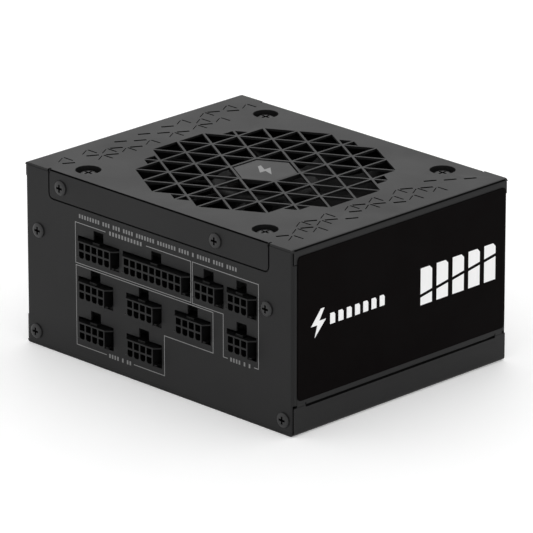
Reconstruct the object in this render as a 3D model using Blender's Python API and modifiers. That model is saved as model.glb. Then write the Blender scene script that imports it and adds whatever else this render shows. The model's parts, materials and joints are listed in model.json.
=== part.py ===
"""A small-form-factor modular computer power supply, as an assembly of separate solids.

Frame: origin at the middle of the underside, +Z up through the fan grille, the modular sockets
on the -Y face, the mains inlet on the +Y face. Dimensions are in millimetres and are turned into
metres where a mesh is made.
"""

import math

import bmesh
import bpy
from mathutils import Matrix, Vector

MM = 0.001

# The case: outer size and sheet metal
WIDTH = 125.0
DEPTH = 100.0
HEIGHT = 63.5
SHEET = 0.8
SEAT = 0.05  # gap between flat faces that rest on each other
LOOSE = 0.3  # gap round a shank, pin or edge in its hole or slot
BEND = 1.2  # outer radius of the sheet's bends

HALF_WIDTH = WIDTH / 2
FRONT_EDGE = -DEPTH / 2
REAR_EDGE = DEPTH / 2
FRONT_PANEL = FRONT_EDGE  # outer face; the cover's flap lies flush in a pocket pressed into it
PANEL_TOP = HEIGHT - SHEET - 0.1
FLANGE_TOP = 9.6
CORNER_LOW, CORNER_HIGH = 10.5, 58.2  # the stretch where the panels' edges are bent back
RETURN = 1.85  # depth of those bent edges
MITRE = 0.3  # width of the slit at the corners above and below them

# The cover's flaps over the front and rear panels, and its seam above the tray's flange
FLAP_LEFT, FLAP_RIGHT = -50.7, 51.3
FLAP_LOW = 53.75
FLAP_GAP = 0.55  # round the flap in its pocket
FLAP_SCREW_X = (-45.25, 27.5)
FLAP_SCREW_Z = 58.2
SEAM_FRONT, SEAM_REAR = -44.25, 44.9
SEAM_TICK = 1.0

# The fan grille: a triangular lattice of bars
LATTICE = 12.04
BAR = 0.8
GRILLE_REACH = 43.5
BADGE_DROP = 0.7

# The fan
FAN_SIDE = 92.0
FAN_DEPTH = 15.0
FAN_HOLE = 41.25
FAN_BORE = 44.6
DIMPLE_RADIUS = 4.35
DIMPLE_DEPTH = 2.2
FAN_TOP = HEIGHT - DIMPLE_DEPTH - SHEET - SEAT
FAN_LOW = FAN_TOP - FAN_DEPTH
HUB_TOP = FAN_TOP - 0.9
HUB_RADIUS = 18.0
BLADES = 9
SHAFT_RADIUS = 1.5

# The modular sockets: name, circuits, centre across the panel, row
PITCH = 3.0
ROWS = (39.8, 25.6, 11.4)
SOCKETS = (
    ("socket_10_pin", 10, -27.4, 0),
    ("socket_18_pin", 18, -0.1, 0),
    ("socket_6_pin_1", 6, 24.2, 0),
    ("socket_6_pin_2", 6, 39.3, 0),
    ("socket_8_pin_1", 8, -29.0, 1),
    ("socket_8_pin_2", 8, -6.1, 1),
    ("socket_8_pin_3", 8, 16.75, 1),
    ("socket_6_pin_3", 6, 39.3, 1),
    ("socket_8_pin_4", 8, -29.0, 2),
    ("socket_8_pin_5", 8, -6.1, 2),
)
SOCKET_HEIGHT = 6.4
SOCKET_PROUD = 2.1
SOCKET_BACK = 5.15  # behind the panel's outer face
CELL = 2.34
CUTOUT_MARGIN = 2.1
CUTOUT_HEIGHT = 8.1
NOTCH_WIDTH, NOTCH_HEIGHT = 4.6, 3.3

# Boards and screws
BOARD = 1.6
BOARD_LOW = 5.0
BOARD_TOP = BOARD_LOW + BOARD
STAND = BOARD_TOP + SEAT  # where the parts on the main board begin
BOARD_SCREWS = ((-55.0, -36.0), (55.0, -36.0), (-55.0, 41.5), (55.0, 41.5))
PANEL_SCREWS = ((-56.2, 40.8), (50.75, 41.0), (-57.8, 4.8), (58.25, 5.0))
HEAD_RADIUS = 2.55
HEAD_HEIGHT = 0.75
SHANK_RADIUS = 1.4
SHANK_LENGTH = 3.4
SCREW_HOLE = SHANK_RADIUS + LOOSE

# The mains side: an inlet, a rocker switch, vents and the four standard fixing holes
INLET_X, INLET_Z = -33.0, 24.0
SWITCH_X, SWITCH_Z = -5.0, 24.0
ROCKER_PIVOT = REAR_EDGE - 2.75
ROCKER_HALF = 7.4
ROCKER_TILT = 12.0
FIXING_INSET = 6.0


# ---------------------------------------------------------------- groundwork

def start():
    for old in list(bpy.data.objects):
        bpy.data.objects.remove(old, do_unlink=True)
    groups = []
    for name in ("power_supply_unit", "workbench"):
        group = bpy.data.collections.new(name)
        bpy.context.scene.collection.children.link(group)
        groups.append(group)
    return groups


PARTS, TOOLS = start()


def finish(name, colour, roughness, metallic=0.0):
    made = bpy.data.materials.new(name)
    made.use_nodes = True
    shader = made.node_tree.nodes["Principled BSDF"]
    shader.inputs["Base Color"].default_value = (*colour, 1.0)
    shader.inputs["Roughness"].default_value = roughness
    shader.inputs["Metallic"].default_value = metallic
    return made


COATED = finish("coated_steel", (0.05, 0.05, 0.053), 0.55, 0.3)
PRINTED = finish("printed_film", (0.006, 0.005, 0.005), 0.35)
NYLON = finish("black_nylon", (0.012, 0.012, 0.012), 0.45)
LAMINATE = finish("circuit_laminate", (0.01, 0.05, 0.02), 0.4)
ZINC = finish("black_zinc", (0.09, 0.09, 0.09), 0.35, 0.8)
BRIGHT = finish("bright_metal", (0.6, 0.58, 0.55), 0.3, 1.0)
FAN_PLASTIC = finish("fan_plastic", (0.01, 0.01, 0.011), 0.4)
SLEEVE = finish("capacitor_sleeve", (0.015, 0.02, 0.05), 0.4)
FERRITE = finish("ferrite", (0.04, 0.04, 0.045), 0.6)
COPPER = finish("enamelled_copper", (0.45, 0.18, 0.07), 0.3, 0.9)
FILM = finish("insulating_film", (0.55, 0.55, 0.5), 0.5)


def add(name, mesh):
    made = bpy.data.objects.new(name, mesh)
    TOOLS.objects.link(made)
    return made


def from_bmesh(name, shape):
    mesh = bpy.data.meshes.new(name)
    bmesh.ops.recalc_face_normals(shape, faces=shape.faces)
    shape.to_mesh(mesh)
    shape.free()
    return add(name, mesh)


def box(name, low, high):
    """A block between two corners."""
    shape = bmesh.new()
    bmesh.ops.create_cube(shape, size=1.0)
    low, high = Vector(low), Vector(high)
    bmesh.ops.scale(shape, vec=(high - low) * MM, verts=shape.verts)
    bmesh.ops.translate(shape, vec=(low + high) / 2 * MM, verts=shape.verts)
    return from_bmesh(name, shape)


def rod(name, radius, low, high, centre=(0.0, 0.0), axis="Z", sides=24):
    """A cylinder along one axis; centre is given in the other two, in X, Y, Z order."""
    shape = bmesh.new()
    length = (high - low) * MM
    bmesh.ops.create_cone(shape, cap_ends=True, segments=sides, radius1=radius * MM,
                          radius2=radius * MM, depth=length)
    middle = (low + high) / 2
    if axis == "Z":
        place, turn = (*centre, middle), Matrix()
    elif axis == "Y":
        place, turn = (centre[0], middle, centre[1]), Matrix.Rotation(math.pi / 2, 4, "X")
    else:
        place, turn = (middle, *centre), Matrix.Rotation(math.pi / 2, 4, "Y")
    shape.transform(Matrix.Translation(Vector(place) * MM) @ turn)
    return from_bmesh(name, shape)


PLANES = {  # how an outline's own x, y and thickness lie in the part
    "XY": Matrix(((1, 0, 0, 0), (0, 1, 0, 0), (0, 0, 1, 0), (0, 0, 0, 1))),
    "XZ": Matrix(((1, 0, 0, 0), (0, 0, -1, 0), (0, 1, 0, 0), (0, 0, 0, 1))),
    "YZ": Matrix(((0, 0, 1, 0), (1, 0, 0, 0), (0, 1, 0, 0), (0, 0, 0, 1))),
}


def outline(name, rings, low, high, plane="XY"):
    """A flat outline, its inner rings being holes, drawn in a plane and thick from low to high."""
    if plane == "XZ":
        low, high = -high, -low
    curve = bpy.data.curves.new(name, "CURVE")
    curve.dimensions = "2D"
    curve.fill_mode = "BOTH"
    curve.extrude = (high - low) / 2 * MM
    for ring in rings:
        spline = curve.splines.new("POLY")
        spline.points.add(len(ring) - 1)
        spline.use_cyclic_u = True
        for point, (x, y) in zip(spline.points, ring):
            point.co = (x * MM, y * MM, 0.0, 1.0)
    drawn = add(name, curve)
    shape = bmesh.new()
    shape.from_mesh(evaluated_mesh(drawn))
    bpy.data.objects.remove(drawn)
    bmesh.ops.translate(shape, vec=(0, 0, (low + high) / 2 * MM), verts=shape.verts)
    bmesh.ops.remove_doubles(shape, verts=shape.verts, dist=1e-6)
    shape.transform(PLANES[plane])
    return from_bmesh(name, shape)


def turned(name, profile, steps=24):
    """A shape turned about Z from (radius, height) points, run down its outer side."""
    shape = bmesh.new()
    points = [shape.verts.new((r * MM, 0, z * MM)) for r, z in profile]
    for a, b in zip(points, points[1:]):
        shape.edges.new((a, b))
    if profile[0][0] > 0:
        shape.edges.new((points[-1], points[0]))
    mesh = bpy.data.meshes.new(name)
    shape.to_mesh(mesh)
    shape.free()
    made = add(name, mesh)
    screw = made.modifiers.new("turn", "SCREW")
    screw.steps = screw.render_steps = steps
    screw.use_merge_vertices = True
    screw.merge_threshold = 1e-6
    return frozen(made)


def evaluated_mesh(item):
    bpy.context.view_layer.update()
    graph = bpy.context.evaluated_depsgraph_get()
    return bpy.data.meshes.new_from_object(item.evaluated_get(graph))


def frozen(item):
    """The object with its modifiers taken into its mesh."""
    mesh = evaluated_mesh(item)
    item.modifiers.clear()
    item.data = mesh
    return item


def taken(item):
    """The object's mesh on its own, for copies that each become a piece."""
    mesh = item.data
    bpy.data.objects.remove(item)
    return mesh


def merged(name, items):
    """Several separate tools as one mesh, so that one Boolean takes them all."""
    shape = bmesh.new()
    for item in items:
        mesh = item.data.copy()
        mesh.transform(item.matrix_basis)
        shape.from_mesh(mesh)
        bpy.data.objects.remove(item)
    return from_bmesh(name, shape)


def combine(body, operation, tools):
    """Joins or cuts a body with tools, one after another, and clears the tools away."""
    for tool in tools:
        step = body.modifiers.new(tool.name, "BOOLEAN")
        step.operation = operation
        step.object = tool
    frozen(body)
    for tool in tools:
        bpy.data.objects.remove(tool)
    return body


def join(body, *tools):
    return combine(body, "UNION", tools)


def cut(body, *tools):
    return combine(body, "DIFFERENCE", tools)


def keep(body, name, material, place=(0.0, 0.0, 0.0), smooth=False, parent=None):
    """Makes a shape one of the part's pieces."""
    body.name = name
    body.data.name = name
    TOOLS.objects.unlink(body)
    PARTS.objects.link(body)
    body.data.materials.clear()
    body.data.materials.append(material)
    body.location = Vector(place) * MM
    body.parent = parent
    if smooth:
        body.data.shade_smooth()
        body.data.set_sharp_from_angle(angle=math.radians(35))
    return body


def hub(name, place):
    """An empty on a joint's axis, which the moving pieces hang from."""
    empty = bpy.data.objects.new(name, None)
    empty.location = Vector(place) * MM
    PARTS.objects.link(empty)
    return empty


# ---------------------------------------------------------------- outlines

def arc(x, y, radius, start, stop, steps):
    turns = [math.radians(start + (stop - start) * i / steps) for i in range(steps + 1)]
    return [(x + radius * math.cos(a), y + radius * math.sin(a)) for a in turns]


def rectangle(left, low, right, high, radius=0.0, steps=3):
    if not radius:
        return [(left, low), (right, low), (right, high), (left, high)]
    corners = ((right - radius, low + radius, -90), (right - radius, high - radius, 0),
               (left + radius, high - radius, 90), (left + radius, low + radius, 180))
    ring = []
    for x, y, start in corners:
        ring += arc(x, y, radius, start, start + 90, steps)
    return ring


def regular(sides, radius, x=0.0, y=0.0, start=0.0):
    return arc(x, y, radius, start, start + 360 - 360 / sides, sides - 1)


def channel(half, base, end):
    """A sheet bent into a U: its web's outer face at base, its legs reaching to end."""
    way = 1 if end > base else -1
    centre = base + way * BEND
    outer = arc(half - BEND, centre, BEND, -way * 90, 0, 3)
    inner = arc(half - BEND, centre, BEND - SHEET, 0, -way * 90, 2)
    right = outer + [(half, end), (half - SHEET, end)] + inner
    return right + [(-x, y) for x, y in reversed(right)]


def mitre(name, face, inward, low, high, beyond):
    """Prisms at both vertical corners, on one side of the diagonal where two sheets meet."""
    tools = []
    shift = 0.0 if beyond else MITRE * math.sqrt(2)
    edge = HALF_WIDTH + 5 if beyond else HALF_WIDTH - 4.5
    for side in (-1, 1):
        near = (side * (HALF_WIDTH + 1 + shift), face - inward)
        far = (side * (HALF_WIDTH - 3 + shift), face + 3 * inward)
        ring = [near, far, (side * edge, far[1]), (side * edge, near[1])]
        tools.append(outline(name, [ring], low, high))
    return merged(name, tools)


# ---------------------------------------------------------------- the sheet-metal case

def trim_returns(panel, face, inward):
    """Cuts a panel's bent edges off above and below, leaving its corners mitred."""
    cut(panel, mitre("low_corners", face, inward, -1.0, CORNER_LOW, True),
        mitre("high_corners", face, inward, CORNER_HIGH, HEIGHT + 1, True))


def socket_cutout(circuits, x, z):
    half = (PITCH * circuits / 2 + 0.4) / 2 + CUTOUT_MARGIN
    low, high = z - CUTOUT_HEIGHT / 2, z + CUTOUT_HEIGHT / 2
    notch = NOTCH_WIDTH / 2
    return [(x - half, low), (x + half, low), (x + half, high), (x + notch, high),
            (x + notch, high + NOTCH_HEIGHT), (x - notch, high + NOTCH_HEIGHT),
            (x - notch, high), (x - half, high)]


def screw_holes(name, places, low, high, axis):
    return merged(name, [rod(name, SCREW_HOLE, low, high, place, axis, 10) for place in places])


def press_flap_pocket(wall, face, inward):
    """Joggles a wall inwards round one of the cover's flaps, so that the flap lies flush."""
    back = face + inward * SHEET
    ends = sorted((back - inward * 0.1, back + inward * (SHEET + SEAT)))
    join(wall, box("flap_seat", (FLAP_LEFT - 1.4, ends[0], FLAP_LOW - 1.2),
                   (FLAP_RIGHT + 1.4, ends[1], PANEL_TOP)))
    ends = sorted((face - inward, back + inward * SEAT))
    ring = rectangle(FLAP_LEFT - FLAP_GAP, FLAP_LOW - FLAP_GAP, FLAP_RIGHT + FLAP_GAP,
                     HEIGHT + 5, 1.5 + FLAP_GAP)
    cut(wall, outline("flap_pocket", [ring], *ends, "XZ"))


def make_connector_panel():
    ring = channel(HALF_WIDTH, FRONT_PANEL, FRONT_PANEL + RETURN)
    panel = outline("connector_panel", [ring], SHEET + SEAT, PANEL_TOP)
    trim_returns(panel, FRONT_PANEL, 1)
    press_flap_pocket(panel, FRONT_PANEL, 1)
    holes = [outline("cutout", [socket_cutout(n, x, ROWS[row])], -52.0, -46.0, "XZ")
             for _, n, x, row in SOCKETS]
    cut(panel, merged("socket_cutout_tool", holes))
    screws = list(PANEL_SCREWS) + [(x, FLAP_SCREW_Z) for x in FLAP_SCREW_X]
    cut(panel, screw_holes("connector_screw_tool", screws, -52.0, -46.0, "Y"))
    keep(panel, "connector_panel", COATED)


def vent_hexagons():
    """Rows of hexagonal vents right of the switch, left clear of the fixing holes and the flap."""
    step, across = 7.4, 3.1
    rings = []
    for row in range(7):
        z = 8.5 + row * step * math.sqrt(3) / 2
        for column in range(6):
            x = 11.5 + column * step + (row % 2) * step / 2
            rings.append(regular(6, across, x, z, 30))
    return rings


def fixing_places():
    x, top = HALF_WIDTH - FIXING_INSET, HEIGHT - FIXING_INSET
    return [(-x, FIXING_INSET), (x, FIXING_INSET), (-x, top), (x, top)]


def make_tray():
    floor = channel(HALF_WIDTH, 0.0, FLANGE_TOP)
    tray = outline("chassis_tray", [floor], FRONT_PANEL + 0.02, REAR_EDGE - 0.35, "XZ")
    wall = outline("mains_wall", [channel(HALF_WIDTH, REAR_EDGE, REAR_EDGE - RETURN)],
                   0.35, PANEL_TOP)
    trim_returns(wall, REAR_EDGE, -1)
    press_flap_pocket(wall, REAR_EDGE, -1)
    back = REAR_EDGE - SHEET
    join(wall, outline("switch_seat", [rectangle(SWITCH_X - 9.2, SWITCH_Z - 12.6,
                                                 SWITCH_X + 9.2, SWITCH_Z + 12.6, 1.5)],
                       back - 1.2, back + 0.1, "XZ"))
    cut(wall, outline("switch_pocket", [rectangle(SWITCH_X - 8.2, SWITCH_Z - 11.6,
                                                  SWITCH_X + 8.2, SWITCH_Z + 11.6, 1.0)],
                      back - 0.4, REAR_EDGE + 1, "XZ"))
    cut(wall, box("switch_cutout", (SWITCH_X - 6.6, 45.0, SWITCH_Z - 9.8),
                  (SWITCH_X + 6.6, 52.0, SWITCH_Z + 9.8)))
    cut(wall, outline("inlet_cutout", [inlet_outline(13.8, 9.9)], 45.0, 52.0, "XZ"))
    vents = [outline("vent", [ring], 45.0, 52.0, "XZ") for ring in vent_hexagons()]
    cut(wall, merged("vent_tool", vents))
    cut(wall, merged("fixing_tool",
                     [rod("fixing", 1.8, 45.0, 52.0, place, "Y", 10) for place in fixing_places()]))
    flap_holes = [(x, FLAP_SCREW_Z) for x in (-40.0, 40.0)]
    cut(wall, screw_holes("mains_flap_screw_tool", flap_holes, 45.0, 52.0, "Y"))
    cut(tray, mitre("front_slit", FRONT_PANEL, 1, SHEET + 0.06, CORNER_LOW, False),
        mitre("rear_slit", REAR_EDGE, -1, SHEET + 0.06, CORNER_LOW, False))
    join(tray, wall)
    for side, screw in ((-1, PANEL_SCREWS[2]), (1, PANEL_SCREWS[3])):
        ear = box("ear", (side * 50.0, FRONT_PANEL + SHEET + SEAT, 0.35),
                  (side * 61.2, FRONT_PANEL + 2 * SHEET + SEAT, 9.2))
        join(tray, cut(ear, rod("ear_hole", SCREW_HOLE, -50.0, -46.0, screw, "Y", 10)))
    for place in BOARD_SCREWS:
        post = turned("board_post", [(2.9, BOARD_LOW - SEAT), (2.9, 0.35), (SCREW_HOLE, 0.35),
                                     (SCREW_HOLE, BOARD_LOW - SEAT)], 10)
        post.data.transform(Matrix.Translation(Vector((*place, 0)) * MM))
        join(tray, post)
    keep(tray, "chassis_tray", COATED)


def lattice_point(i, j):
    return (j * LATTICE * math.sqrt(3) / 2, (i + j / 2) * LATTICE)


def shrunk(triangle, margin):
    """A triangle with each side moved in, so that half a bar is left along it."""
    x, y = (sum(p[k] for p in triangle) / 3 for k in (0, 1))
    side = math.dist(triangle[0], triangle[1])
    factor = 1 - margin * 2 * math.sqrt(3) / side
    return [(x + (p[0] - x) * factor, y + (p[1] - y) * factor) for p in triangle]


def grille_triangles():
    """The lattice's whole triangles, and the half-size ones beside its six outer points."""
    found = []
    for i in range(-5, 6):
        for j in range(-5, 6):
            corner, right = lattice_point(i, j), lattice_point(i, j + 1)
            for third in (lattice_point(i + 1, j), lattice_point(i - 1, j + 1)):
                triangle = [corner, right, third]
                reach = [math.hypot(*p) for p in triangle]
                if max(reach) < GRILLE_REACH and min(reach) > 1.0:
                    found.append(triangle)
    for turn in range(30, 390, 60):
        ray = math.radians(turn)
        tip = (3 * LATTICE * math.cos(ray), 3 * LATTICE * math.sin(ray))
        for step in (-60, 60):
            ends = [math.radians(turn), math.radians(turn + step)]
            found.append([tip] + [(tip[0] + LATTICE / 2 * math.cos(a),
                                   tip[1] + LATTICE / 2 * math.sin(a)) for a in ends])
    return [shrunk(triangle, BAR / 2) for triangle in found]


def make_cover():
    legs = channel(HALF_WIDTH, HEIGHT, FLANGE_TOP + 0.1)
    cover = outline("top_cover", [legs], FRONT_EDGE, REAR_EDGE, "XZ")
    for face, inward in ((FRONT_PANEL, 1), (REAR_EDGE, -1)):
        ends = sorted((face - inward * 2, face + inward * (RETURN + 0.1)))
        cut(cover, box("leg_end", (-70, ends[0], 0), (70, ends[1], CORNER_HIGH + LOOSE)),
            mitre("leg_tip", face, inward, CORNER_HIGH, PANEL_TOP, False))
    seam = [box("seam", (-70, SEAM_FRONT, 0), (70, SEAM_REAR, FLANGE_TOP + 0.4))]
    for end in (SEAM_FRONT, SEAM_REAR - 0.35):
        seam.append(box("seam_tick", (-70, end, FLANGE_TOP), (70, end + 0.35,
                                                               FLANGE_TOP + SEAM_TICK)))
    for tool in seam:
        cut(cover, tool)
    for name, low, high in (("front_flap", FRONT_EDGE, FRONT_EDGE + SHEET),
                            ("rear_flap", REAR_EDGE - SHEET, REAR_EDGE)):
        ring = rectangle(FLAP_LEFT, FLAP_LOW, FLAP_RIGHT, HEIGHT - SHEET / 2, 1.5)
        join(cover, outline(name, [ring], low, high, "XZ"))
    for x in (-FAN_HOLE, FAN_HOLE):
        for y in (-FAN_HOLE, FAN_HOLE):
            join(cover, rod("dimple_cup", DIMPLE_RADIUS + SHEET, HEIGHT - DIMPLE_DEPTH - SHEET,
                            HEIGHT - SHEET / 2, (x, y), sides=16))
    join(cover, outline("badge_seat", [regular(6, LATTICE + 0.4, start=90)],
                        HEIGHT - SHEET - BADGE_DROP, HEIGHT - SHEET + 0.2))
    cut(cover, merged("grille_tool", [outline("hole", [ring], HEIGHT - 4, HEIGHT + 2)
                                      for ring in grille_triangles()]))
    cut(cover, outline("badge_tool", [regular(6, LATTICE - 0.6, start=90)],
                       HEIGHT - BADGE_DROP, HEIGHT + 2))
    dimples = []
    for x in (-FAN_HOLE, FAN_HOLE):
        for y in (-FAN_HOLE, FAN_HOLE):
            profile = [(DIMPLE_RADIUS, HEIGHT + 2), (DIMPLE_RADIUS, HEIGHT - DIMPLE_DEPTH),
                       (2.3, HEIGHT - DIMPLE_DEPTH), (2.3, HEIGHT - DIMPLE_DEPTH - 2)]
            tool = turned("dimple", [(0, HEIGHT + 2)] + profile + [(0, profile[-1][1])], 16)
            tool.data.transform(Matrix.Translation(Vector((x, y, 0)) * MM))
            dimples.append(tool)
    cut(cover, merged("dimple_tool", dimples))
    notches = []
    for x in (FLAP_LEFT - 0.4, FLAP_RIGHT + 0.4):
        for y in (FRONT_EDGE, REAR_EDGE):
            notches.append(box("notch", (x - 0.4, y - 1.3, HEIGHT - 2), (x + 0.4, y + 1.3,
                                                                         HEIGHT + 1)))
    cut(cover, merged("notch_tool", notches))
    front = [(x, FLAP_SCREW_Z) for x in FLAP_SCREW_X]
    cut(cover, screw_holes("front_flap_tool", front, FRONT_EDGE - 1, FRONT_EDGE + 1, "Y"))
    rear = [(x, FLAP_SCREW_Z) for x in (-40.0, 40.0)]
    cut(cover, screw_holes("rear_flap_tool", rear, REAR_EDGE - 1, REAR_EDGE + 1, "Y"))
    keep(cover, "top_cover", COATED)
    badge = outline("grille_badge", [regular(6, LATTICE - 1.1, start=90)], 0.0, 0.45)
    keep(badge, "grille_badge", PRINTED, (0, 0, HEIGHT - BADGE_DROP + SEAT))


def make_side_labels():
    film = 0.25
    ring = rectangle(-48.0, 11.75, 48.9, 60.9, 1.5)
    for name, low in (("side_label_right", HALF_WIDTH + SEAT),
                      ("side_label_left", -HALF_WIDTH - SEAT - film)):
        keep(outline(name, [ring], low, low + film, "YZ"), name, PRINTED)


# ---------------------------------------------------------------- the modular side

def cell_ring(x, z, chamfer):
    half = CELL / 2
    if not chamfer:
        return rectangle(x - half, z - half, x + half, z + half)
    return [(x - half + chamfer, z - half), (x + half - chamfer, z - half),
            (x + half, z - half + chamfer), (x + half, z + half), (x - half, z + half),
            (x - half, z - half + chamfer)]


def socket_mesh(circuits):
    """A header housing with two rows of blind cells and a latch lug, drawn about the panel."""
    columns = circuits // 2
    half = (PITCH * columns + 0.4) / 2
    housing = box("housing", (-half, -SOCKET_PROUD, -SOCKET_HEIGHT / 2),
                  (half, SOCKET_BACK, SOCKET_HEIGHT / 2))
    cells = []
    for column in range(columns):
        x = (column - (columns - 1) / 2) * PITCH
        for z, chamfer in ((PITCH / 2, 0.0), (-PITCH / 2, 0.5)):
            cells.append(outline("cell", [cell_ring(x, z, chamfer)], -SOCKET_PROUD - 1,
                                 SOCKET_BACK - 1.6, "XZ"))
    lug = box("lug", (-1.6, -0.9, SOCKET_HEIGHT / 2 - 0.3), (1.6, 0.9, SOCKET_HEIGHT / 2 + 0.7))
    return taken(cut(join(housing, lug), merged("cells", cells)))


def make_sockets():
    meshes = {n: socket_mesh(n) for n in sorted({row[1] for row in SOCKETS})}
    for name, circuits, x, row in SOCKETS:
        housing = add(name, meshes[circuits].copy())
        keep(housing, name, NYLON, (x, FRONT_PANEL, ROWS[row]))


def make_modular_board():
    front = FRONT_PANEL + SOCKET_BACK + SEAT
    board = outline("modular_board", [rectangle(-60.0, 5.6, 55.0, 45.0, 1.0)],
                    front, front + BOARD, "XZ")
    keep(board, "modular_board", LAMINATE)
    start = FRONT_PANEL + SHEET + SEAT
    for name, (x, z) in zip(("board_spacer_left", "board_spacer_right"), PANEL_SCREWS):
        length = front - SEAT - start
        spacer = turned(name, [(3.0, length), (3.0, 0.0), (SCREW_HOLE, 0.0), (SCREW_HOLE, length)],
                        6)
        spacer.rotation_euler = (-math.pi / 2, 0, 0)
        keep(spacer, name, BRIGHT, (x, start, z))


# ---------------------------------------------------------------- screws

def screw_mesh(head, height, shank, length, name):
    profile = [(0, height), (head * 0.72, height), (head, height * 0.55), (head, 0), (shank, 0),
               (shank, 0.3 - length), (shank * 0.7, -length), (0, -length)]
    body = turned(name, profile, 8)
    arm, half = head * 0.56, head * 0.16
    cut(body, box("slot_along", (-arm, -half, height * 0.35), (arm, half, height + 1)),
        box("slot_across", (-half, -arm, height * 0.3), (half, arm, height + 2)))
    return taken(body)


TOWARDS = {  # which way a screw's head faces
    "front": (math.pi / 2, 0, 0),
    "rear": (-math.pi / 2, 0, 0),
    "up": (0, 0, 0),
}


def make_screws():
    small = screw_mesh(HEAD_RADIUS, HEAD_HEIGHT, SHANK_RADIUS, SHANK_LENGTH, "case_screw")
    coarse = screw_mesh(3.0, 1.15, 2.0, 9.0, "fan_screw")
    placed = []
    for name, x in zip(("flap_screw_front_left", "flap_screw_front_right"), FLAP_SCREW_X):
        placed.append((name, small, (x, FRONT_EDGE - SEAT, FLAP_SCREW_Z), "front"))
    for name, x in (("flap_screw_rear_left", -40.0), ("flap_screw_rear_right", 40.0)):
        placed.append((name, small, (x, REAR_EDGE + SEAT, FLAP_SCREW_Z), "rear"))
    for number, (x, z) in enumerate(PANEL_SCREWS, 1):
        placed.append((f"panel_screw_{number}", small, (x, FRONT_PANEL - SEAT, z), "front"))
    for number, (x, y) in enumerate(BOARD_SCREWS, 1):
        placed.append((f"board_screw_{number}", small, (x, y, BOARD_TOP + SEAT), "up"))
    corners = [(x, y) for y in (-FAN_HOLE, FAN_HOLE) for x in (-FAN_HOLE, FAN_HOLE)]
    for number, (x, y) in enumerate(corners, 1):
        seat = HEIGHT - DIMPLE_DEPTH + SEAT
        placed.append((f"fan_screw_{number}", coarse, (x, y, seat), "up"))
    for name, mesh, place, way in placed:
        screw = keep(add(name, mesh.copy()), name, ZINC, place)
        screw.rotation_euler = TOWARDS[way]


# ---------------------------------------------------------------- the fan

def make_fan_frame():
    half = FAN_SIDE / 2
    square = rectangle(-half, -half, half, half, 4.0, 4)
    holes = [regular(10, 2.4, x, y) for x in (-FAN_HOLE, FAN_HOLE) for y in (-FAN_HOLE, FAN_HOLE)]
    frame = outline("fan_frame", [square, regular(40, FAN_BORE)] + holes, FAN_LOW, FAN_TOP)
    motor = turned("motor_base", [(0, FAN_LOW + 2.0), (17.0, FAN_LOW + 2.0), (17.0, FAN_LOW),
                                  (0, FAN_LOW)], 24)
    tube = turned("bearing_tube", [(5.0, FAN_LOW + 11.4), (5.0, FAN_LOW + 1.0),
                                   (4.2, FAN_LOW + 1.0), (4.2, FAN_LOW + 11.4)], 16)
    for turn in (45, 135):
        arm = box("arm", (-FAN_BORE - 0.8, -1.6, FAN_LOW + 0.1), (FAN_BORE + 0.8, 1.6,
                                                                  FAN_LOW + 1.9))
        arm.data.transform(Matrix.Rotation(math.radians(turn), 4, "Z"))
        join(frame, arm)
    join(frame, motor, tube)
    keep(frame, "fan_frame", FAN_PLASTIC)


def blade_section(radius, share):
    """A six-point aerofoil wrapped round the axis; share runs from 0 at the root to 1 at the tip."""
    chord = 14.5 + 6.0 * share
    pitch = math.radians(44.0 - 15.0 * share)
    thick = 1.5 - 0.5 * share
    sweep = math.radians(16.0) * share
    points = []
    for along, off in ((-0.5, 0.0), (-0.2, 0.9), (0.2, 1.1), (0.5, 0.1), (0.2, 0.1), (-0.2, -0.1)):
        flat = along * chord
        rise = off * thick
        around = (flat * math.cos(pitch) - rise * math.sin(pitch)) / radius + sweep
        height = flat * math.sin(pitch) + rise * math.cos(pitch)
        points.append(Vector((radius * math.cos(around), radius * math.sin(around), height)) * MM)
    return points


def fan_blade(turn):
    """A twisted blade, lofted through sections from inside the hub to the tip."""
    shape = bmesh.new()
    rings = []
    radii = (HUB_RADIUS - 0.8, 26.0, 35.0, 43.2)
    for radius in radii:
        share = (radius - radii[0]) / (radii[-1] - radii[0])
        rings.append([shape.verts.new(p) for p in blade_section(radius, share)])
    for inner, outer in zip(rings, rings[1:]):
        for k in range(len(inner)):
            n = (k + 1) % len(inner)
            shape.faces.new((inner[k], inner[n], outer[n], outer[k]))
    shape.faces.new(rings[0])
    shape.faces.new(list(reversed(rings[-1])))
    bmesh.ops.triangulate(shape, faces=shape.faces)
    shape.transform(Matrix.Rotation(turn, 4, "Z"))
    return from_bmesh("blade", shape)


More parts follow.
